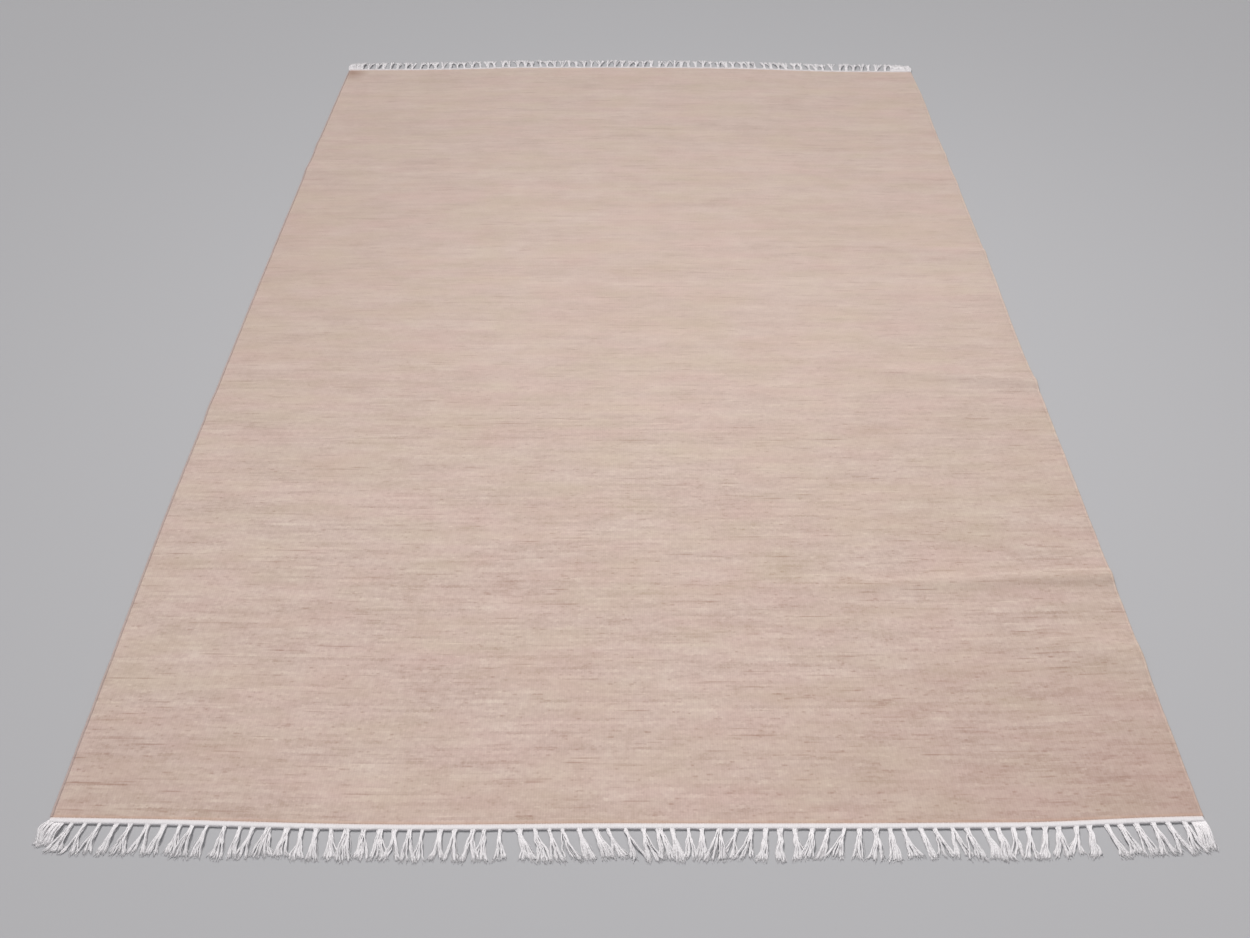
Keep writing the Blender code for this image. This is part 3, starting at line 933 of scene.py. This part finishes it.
def pack_heading(sizes, material, end):
    """One white heading: rows of cotton weft over the warps."""
    warps = round(sizes.width / sizes.warp_pitch)
    stations = warps * HEADING_STATIONS_PER_WARP + 1
    across = np.linspace(-sizes.width / 2, sizes.width / 2, stations)
    rows = round(end.depth / HEADING_ROW)
    reach, height, on_top = heading_section(rows)
    height *= HEADING_THICKNESS - HEADING_RELIEF
    relief = heading_relief(across, reach, rows, sizes.warp_pitch)
    from_end = sizes.width / 2 - np.abs(across)
    taper = np.sqrt(np.clip(from_end / HEADING_TAPER, HEADING_END_SHARE, 1))
    z = (height[None, :] + relief * on_top) * taper[:, None]
    face = end_edge(sizes, across / (sizes.width / 2), end) + end.side * HEADING_GAP
    wander = np.array([
        noise.noise(Vector((x / HEADING_WANDER_LENGTH, end.seed, 0))) for x in across])
    local_depth = end.depth + HEADING_WANDER * wander
    y = face[:, None] + end.side * reach[None, :] * local_depth[:, None]
    rings = np.stack([np.broadcast_to(across[:, None], y.shape), y, z], -1)[None]
    flat_y = end.side * (sizes.length / 2 + reach * end.depth)
    flat_y = np.append(flat_y, flat_y[0])
    if end.side > 0:
        rings, flat_y = rings[:, :, ::-1], flat_y[::-1]
    name = end.name + "_heading"
    mesh = tubes(name, rings, FLAT_LAYER, flat_y, across[None])
    # a tube's coordinates run round it first, and those of the cloth run across it first
    layer = mesh.uv_layers[FLAT_LAYER].data
    values = np.zeros(len(mesh.loops) * 2)
    layer.foreach_get("uv", values)
    layer.foreach_set("uv", values.reshape(-1, 2)[:, ::-1].ravel())
    return add_piece(name, mesh, material, [end.name + "_fringe"])


def lay_tassels(sizes, end, scatter):
    """Where each tassel between the corners starts, and how it lies."""
    pitch = sizes.width / sizes.tassels
    places, shifts = zip(*end.leans)
    stray = LEAN_SCATTER[end.name]
    tassels = []
    for index in range(1, sizes.tassels - 1):
        root = (index + 0.5) * pitch - sizes.width / 2
        root += scatter.uniform(-ROOT_SCATTER, ROOT_SCATTER)
        lean = float(np.interp(root, places, shifts))
        tassels.append(Tassel(
            root=root, shift=lean + scatter.uniform(-stray, stray),
            length=sizes.fringe_length + scatter.uniform(-LENGTH_SCATTER, LENGTH_SCATTER),
            fullness=scatter.uniform(THINNEST, FULLEST),
            spread=scatter.uniform(NARROWEST, WIDEST), layer=index % 2))
    return tassels


def fan_out(sizes, tassel, scatter):
    """The yarns of one tassel as (place in the stem, height in the stem, place at the tip, stray).

    The places are sideways from the tassel's middle line. The yarns part into two or three locks.
    """
    count = max(FEWEST_YARNS, round(sizes.yarns * tassel.fullness))
    locks = scatter.choice(LOCKS)
    half_stem = tassel.fullness * STEM_WIDTH / 2
    half_fan = tassel.spread * FAN_WIDTH / 2
    yarns = []
    for index in range(count):
        share = (index + 0.5) / count * 2 - 1
        lock = locks[min(int((share + 1) / 2 * len(locks)), len(locks) - 1)]
        tip = LOCKED * lock + (1 - LOCKED) * share + scatter.uniform(-TIP_SCATTER, TIP_SCATTER)
        stray = scatter.random() < STRAY_SHARE
        tip = scatter.uniform(-STRAY_REACH, STRAY_REACH) if stray else tip * half_fan
        yarns.append((share * (half_stem - sizes.yarn_width / 2), index % 2, tip, stray))
    return yarns


def flatten(t):
    """How far a yarn has come untwisted: 0 up to TIP_START, 1 at the tip."""
    return ease((t - TIP_START) / (1 - TIP_START))


def draw_tassel(sizes, end, tassel, scatter):
    """The middle lines of the yarns of one tassel."""
    radius = sizes.yarn_width / 2
    face = float(end_edge(sizes, 2 * tassel.root / sizes.width, end))
    face += end.side * (HEADING_GAP + end.depth)
    fork = scatter.uniform(*FORK) * MM
    straightness = scatter.uniform(*STRAIGHTNESS)
    sway = scatter.uniform(*SWAY) * MM
    sway_length, sway_phase = scatter.uniform(*SWAY_LENGTH) * MM, scatter.uniform(0, tau)
    arch = min(max(scatter.gauss(ARCH_MEAN, ARCH_SCATTER), 0), HIGHEST_ARCH) * MM
    twist, twist_phase = scatter.uniform(*TASSEL_TWIST) * MM, scatter.uniform(0, tau)
    lines = []
    for start, high, tip, stray in fan_out(sizes, tassel, scatter):
        # d is the distance from the heading's face, and t its share of the yarn's length
        own = tassel.length + scatter.uniform(*OWN_LENGTH) * MM
        d = np.linspace(-YARN_ROOT_DEPTH, own, YARN_STATIONS)
        free = np.clip(d, 0, None)
        t = free / own
        parting = scatter.uniform(*STRAY_FORK) * MM if stray else fork
        opening = np.clip((d - parting) / (own - parting), 0, 1) ** straightness
        flare = 1 + ROOT_FLARE * np.exp(-(free / ROOT_FLARE_LENGTH) ** 2)
        crimp = scatter.uniform(*CRIMP) * MM
        crimp_length, crimp_phase = scatter.uniform(*CRIMP_LENGTH) * MM, scatter.uniform(0, tau)
        turn = tau * d / twist + twist_phase + high * pi
        x = (tassel.root + tassel.shift * t ** LEAN_POWER
             + start * flare * (1 - opening) + tip * opening
             + sway * t * np.sin(tau * d / sway_length + sway_phase)
             + crimp * np.sin(tau * d / crimp_length + crimp_phase)
             + TWIST_SWAY * radius * np.cos(turn))
        rooted = np.exp(-(free / ROOT_HOLD) ** 2)
        flat = flatten(t)
        raised = (high * radius * UPPER_RISE * (1 - SINKING * opening)
                  + TWIST_RISE * radius * (1 + np.sin(turn)) * (1 - rooted)
                  + tassel.layer * LAYER_RISE * ease(t / LAYER_START))
        z = (radius * (1 - TIP_FLATTENING * flat) + (ROOT_HEIGHT - radius) * rooted
             + raised * (1 - SETTLING * flat) + arch * np.sin(pi * t) ** ARCH_POWER)
        lines.append(np.stack([x, face + end.side * d, z], -1))
    return lines


def draw_corner(sizes, end, corner, scatter):
    """The middle lines of a corner tassel: a broad soft clump below the heading's end."""
    radius = sizes.yarn_width / 2
    corner_x = corner.outward * sizes.width / 2
    face = float(end_edge(sizes, corner.outward, end)) + end.side * HEADING_GAP
    t = np.linspace(0, 1, YARN_STATIONS)
    flat = flatten(t)
    lines = []
    for index in range(corner.yarns):
        outer = (index + 0.5) / corner.yarns
        edge = ease((outer - CORNER_OUTER) / (1 - CORNER_OUTER))
        own = sizes.fringe_length - corner.shorter + scatter.uniform(*CORNER_LENGTH) * MM
        # the outermost yarns leave from the end of the heading, the others from its lower edge
        inset = corner.width * (1 - outer)
        start_x = corner_x - corner.outward * (inset + CORNER_INSET)
        start_y = end.depth * (1 - CORNER_RAISED * edge) - YARN_ROOT_DEPTH * (1 - edge)
        tip_x = corner_x + corner.outward * (
            corner.swing - inset + scatter.uniform(*CORNER_TIPS) * MM)
        bulge = corner.bulge * edge * np.sin(pi * np.clip(t / BULGE_END, 0, 1)) ** BULGE_POWER
        turns, phase = scatter.uniform(*CORNER_TURNS), scatter.uniform(0, tau)
        sway = scatter.uniform(*CORNER_SWAY) * MM * t * np.sin(tau * t * turns + phase)
        x = start_x + (tip_x - start_x) * ease(t) + corner.outward * bulge + sway
        y = start_y + (end.depth + own - start_y) * t
        pile = scatter.uniform(*CORNER_PILE) * radius * ease(t / CORNER_PILE_START)
        arch = CORNER_ARCH + scatter.uniform(*CORNER_ARCH_SCATTER) * MM
        arch = arch * np.sin(pi * t) ** CORNER_ARCH_POWER
        z = radius * (1 - TIP_FLATTENING * flat) + (pile + arch) * (1 - SETTLING * flat)
        lines.append(np.stack([x, face + end.side * y, z], -1))
    return lines


def draw_yarns(sizes, end):
    """The middle line of every fringe yarn at one end, and its half breadth and half height."""
    scatter = random.Random(end.seed)
    lines = []
    for corner in end.corners:
        lines += draw_corner(sizes, end, corner, scatter)
    for tassel in lay_tassels(sizes, end, scatter):
        lines += draw_tassel(sizes, end, tassel, scatter)
    flat = flatten(np.linspace(0, 1, YARN_STATIONS))
    radius = np.full((len(lines), 1), sizes.yarn_width / 2)
    breadths, heights = radius * (1 + TIP_BROADENING * flat), radius * (1 - TIP_FLATTENING * flat)
    return np.array(lines), breadths, heights


def draw_frays(end, paths):
    """Fibres that have come loose along each yarn and at its end, as draw_yarns gives the yarns."""
    scatter = random.Random(end.seed + FRAY_SEED)
    lines, radii = [], []
    steps = np.linspace(0, 1, FRAY_STATIONS)
    last = paths.shape[1] - 1
    stations = np.arange(last + 1)
    for path in paths:
        forward = path[-1] - path[-1 - FRAY_GUIDE_STEPS]
        forward /= np.linalg.norm(forward)
        sideways = np.array([-forward[1], forward[0], 0.0])
        for fray in FRAYS:
            for _ in range(fray.count):
                first = scatter.uniform(fray.first, fray.last) * last
                places = first + (last - first) * steps
                line = np.stack([np.interp(places, stations, axis) for axis in path.T], -1)
                length = np.linalg.norm(line[-1] - line[0])
                fan = scatter.uniform(-fray.fan, fray.fan)
                curl = scatter.uniform(-fray.curl, fray.curl)
                side = length * (fan * steps + curl * np.sin(pi * steps))
                on = scatter.uniform(*FRAY_ONWARD) * fray.reach
                line += sideways * side[:, None] + forward * (on * steps)[:, None]
                rise = scatter.uniform(*FRAY_RISE) * MM
                line[:, 2] = np.maximum(fray.radius, line[:, 2] + rise * steps)
                lines.append(line)
                radii.append(fray.radius * (1 - FRAY_TAPER * steps ** 2))
    return np.array(lines), np.array(radii), np.array(radii) * FRAY_FLATNESS


def sweep(paths, breadths, heights, sides):
    """Rings of the given half breadths and half heights round many middle lines.

    Each ring has one corner on top.
    """
    tangent = np.gradient(paths, axis=1)
    tangent /= np.linalg.norm(tangent, axis=-1, keepdims=True)
    level = np.cross(tangent, np.array([0.0, 0.0, 1.0]))
    level /= np.linalg.norm(level, axis=-1, keepdims=True)
    upright = np.cross(level, tangent)
    angle = pi / 2 - np.arange(sides) / sides * tau
    out = breadths[..., None, None] * np.cos(angle)[:, None] * level[..., None, :]
    up = heights[..., None, None] * np.sin(angle)[:, None] * upright[..., None, :]
    return paths[..., None, :] + out + up


def tie_fringe(sizes, yarn, fibre, end):
    """All yarns and loose fibres of one fringe, as two joined meshes."""
    yarns = draw_yarns(sizes, end)
    fibres = draw_frays(end, yarns[0])
    for part, material, (lines, breadths, heights), sides in (
        ("yarns", yarn, yarns, YARN_SIDES), ("fibres", fibre, fibres, FRAY_SIDES),
    ):
        rings = sweep(lines, breadths, heights, sides)
        steps = np.linalg.norm(np.diff(lines, axis=1), axis=-1)
        lengths = np.concatenate([np.zeros((len(lines), 1)), np.cumsum(steps, axis=1)], axis=1)
        name = f"{end.name}_fringe_{part}"
        mesh = tubes(name, rings, YARN_LAYER, np.arange(sides + 1) / sides, lengths)
        add_piece(name, mesh, material, [end.name + "_fringe"])


# Camera: worked out from the four corners of the rug in the photograph
CAMERA_PLACE = Vector((0.007, -1.9158 + CENTRING, 1.4379))
CAMERA_TILT = radians(90 - 44.588)
CAMERA_TURN = radians(0.45)
CAMERA_ROLL = radians(-0.265)
FOCAL_PIXELS = 1121.8
PICTURE_WIDTH = 1250
SENSOR_WIDTH = 36.0

# The floor lies just under the rug, or the two would show through one another
FLOOR_SIZE = 16.0
FLOOR_DROP = 0.0003

# Light: a pale sky, a window behind on the left, a softbox over the middle and a weak fill from
# the front. spread is the lamp's angle in degrees, and towards points from the rug to it
SKY_COLOUR, SKY_STRENGTH = (0.93, 0.96, 1.0, 1.0), 0.24
Sun = namedtuple("Sun", "name strength spread colour towards")
WINDOW = Sun(name="window_key", strength=2.30, spread=12, colour=(1.0, 0.985, 0.975),
             towards=(-0.36, 0.86, 0.95))
FILL = Sun(name="front_fill", strength=0.5, spread=60, colour=(0.97, 0.985, 1.0),
           towards=(0.15, -0.90, 0.38))
SOFTBOX_PLACE, SOFTBOX_SIDE, SOFTBOX_POWER = (0.18, -0.20, 1.95), 1.2, 12.4


def hang_sun(scene, sun):
    """Adds one far lamp."""
    light = bpy.data.lights.new(sun.name, "SUN")
    light.energy, light.angle, light.color = sun.strength, radians(sun.spread), sun.colour
    lamp = bpy.data.objects.new(sun.name, light)
    lamp.rotation_euler = Vector(sun.towards).to_track_quat("Z", "Y").to_euler()
    scene.collection.objects.link(lamp)


class RUG_OT_stage(bpy.types.Operator):
    """Lay the floor and set the lights and the camera."""

    bl_idname = "rug.stage"
    bl_label = "Floor, lights and camera"

    def execute(self, context):
        scene = context.scene
        scene.view_settings.view_transform = "Standard"
        # matt paint, rolled on: it takes soft shadows and shows no gloss
        material, _ = new_material("matt_painted_floor", {
            "Base Color": opaque(scene.rug_colours, "floor"),
            "Roughness": 0.9, "Specular IOR Level": 0.2})
        mesh = bpy.data.meshes.new("floor")
        half = FLOOR_SIZE / 2
        mesh.from_pydata([(-half, -half, 0), (half, -half, 0), (half, half, 0), (-half, half, 0)],
                         [], [(0, 1, 2, 3)])
        mesh.materials.append(material)
        floor = bpy.data.objects.new("floor", mesh)
        floor.location.z = -FLOOR_DROP
        scene.collection.objects.link(floor)
        floor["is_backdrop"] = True

        world = bpy.data.worlds.new("studio")
        world.use_nodes = True
        sky = world.node_tree.nodes["Background"].inputs
        sky["Color"].default_value, sky["Strength"].default_value = SKY_COLOUR, SKY_STRENGTH
        scene.world = world
        hang_sun(scene, WINDOW)
        area = bpy.data.lights.new("overhead_softbox", "AREA")
        area.shape, area.size, area.energy = "SQUARE", SOFTBOX_SIDE, SOFTBOX_POWER
        softbox = bpy.data.objects.new("overhead_softbox", area)
        softbox.location = SOFTBOX_PLACE
        scene.collection.objects.link(softbox)
        hang_sun(scene, FILL)

        lens = bpy.data.cameras.new("camera")
        lens.sensor_fit, lens.sensor_width = "HORIZONTAL", SENSOR_WIDTH
        lens.lens = FOCAL_PIXELS / PICTURE_WIDTH * SENSOR_WIDTH
        camera = bpy.data.objects.new("camera", lens)
        turn = Matrix.Rotation(CAMERA_TURN, 4, "Z") @ Matrix.Rotation(CAMERA_TILT, 4, "X")
        roll = Matrix.Rotation(CAMERA_ROLL, 4, "Z")
        camera.matrix_world = Matrix.Translation(CAMERA_PLACE) @ turn @ roll
        scene.collection.objects.link(camera)
        scene.camera = camera
        return {"FINISHED"}


class RUG_OT_fringe(bpy.types.Operator):
    """Tie the cotton fringe along both headings."""

    bl_idname = "rug.fringe"
    bl_label = "Fringe"

    def execute(self, context):
        sizes, colours = context.scene.rug_sizes, context.scene.rug_colours
        yarn, fibre = cotton_yarn(colours), cotton_fibre(colours)
        for end in ENDS:
            tie_fringe(sizes, yarn, fibre, end)
        return {"FINISHED"}


class RUG_OT_headings(bpy.types.Operator):
    """Pack the white cotton heading at each end."""

    bl_idname = "rug.headings"
    bl_label = "Headings"

    def execute(self, context):
        sizes, colours = context.scene.rug_sizes, context.scene.rug_colours
        material = cotton_heading(sizes, colours)
        for end in ENDS:
            pack_heading(sizes, material, end)
        return {"FINISHED"}


class RUG_OT_field(bpy.types.Operator):
    bl_idname = "rug.field"
    bl_label = "Field and selvedges"

    def execute(self, context):
        sizes, colours = context.scene.rug_sizes, context.scene.rug_colours
        material = wool_weave(sizes, colours)
        field = weave_field(sizes, material)
        wrap_selvedge(sizes, material, -1, "left_selvedge")
        wrap_selvedge(sizes, material, 1, "right_selvedge")
        return {"FINISHED"}


class RUG_PT_sidebar(bpy.types.Panel):
    """Sizes, colours and the steps that make the rug."""

    bl_idname = "RUG_PT_sidebar"
    bl_label = "Dhurrie rug"
    bl_space_type = "VIEW_3D"
    bl_region_type = "UI"
    bl_category = "Rug"

    def draw(self, context):
        layout = self.layout
        for group in (context.scene.rug_sizes, context.scene.rug_colours):
            box = layout.box()
            for name in group.bl_rna.properties.keys():
                if name not in ("rna_type", "name"):
                    box.prop(group, name)
        for step in STEPS:
            layout.operator(step.bl_idname)


STEPS = (RUG_OT_stage, RUG_OT_fringe, RUG_OT_headings, RUG_OT_field)
CLASSES = (RugSizes, RugColours, *STEPS, RUG_PT_sidebar)


def register():
    for cls in CLASSES:
        bpy.utils.register_class(cls)
    bpy.types.Scene.rug_sizes = PointerProperty(type=RugSizes)
    bpy.types.Scene.rug_colours = PointerProperty(type=RugColours)


def unregister():
    del bpy.types.Scene.rug_colours
    del bpy.types.Scene.rug_sizes
    for cls in reversed(CLASSES):
        bpy.utils.unregister_class(cls)


def main():
    """Makes the whole rug."""
    register()
    bpy.ops.rug.stage()
    bpy.ops.rug.fringe()
    bpy.ops.rug.headings()
    bpy.ops.rug.field()
    boxes = {"cad": CAD_BOX, "visual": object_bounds()}
    {name: [list(corner) for corner in box] for name, box in boxes.items()}


if __name__ == "__main__":
    main()
